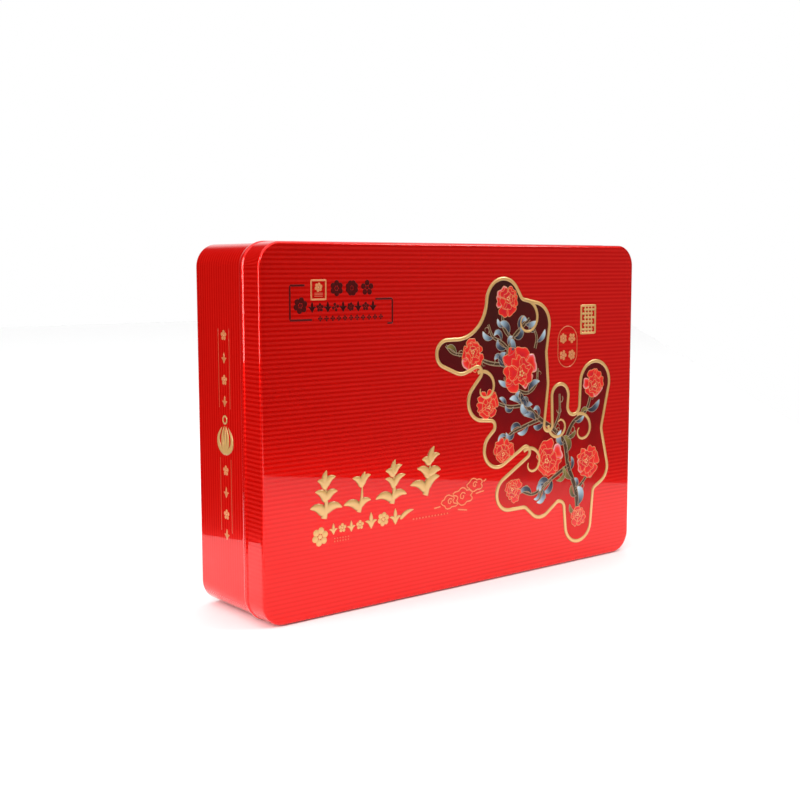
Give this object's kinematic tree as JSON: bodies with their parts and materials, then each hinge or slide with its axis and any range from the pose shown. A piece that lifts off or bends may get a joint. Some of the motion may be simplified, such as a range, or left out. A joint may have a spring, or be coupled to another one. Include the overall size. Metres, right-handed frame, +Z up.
{
  "type": "lithographed tin",
  "caption": "Flat rectangular tea tin with rounded corners: slip lid with an embossed cloud cartouche, wrapped body, recessed bottom plate.",
  "frame": {"origin": "middle of the long side that the tin stands on, on the lid's lower skirt", "axes": "+X along the long side, +Y from the lid towards the bottom plate, +Z up along the short side of the lid's face"},
  "size_m": [0.235, 0.0544, 0.166],
  "materials": {
    "red_litho": "red translucent ink over tinplate, glossy varnish, with 2 mm line pattern",
    "tinplate": "bare bright tinplate",
    "gold_ink": "satin gold ink, embossed",
    "black_ink": "glossy black ink",
    "cartouche_ink": "maroon ink fading to red",
    "flower_ink": "bright red ink with pink tips",
    "leaf_ink": "blue-grey ink fading to black"
  },
  "bodies": {
    "tin_body": {"body_wall": "red_litho", "bottom_plate": "tinplate"},
    "lid": {"lid": "red_litho"}
  },
  "joints": [
    {"name": "lid_slide", "type": "slide", "parent": "tin_body", "child": "lid", "axis": [0, -1, 0], "range_m": [0, 0.08]}
  ]
}
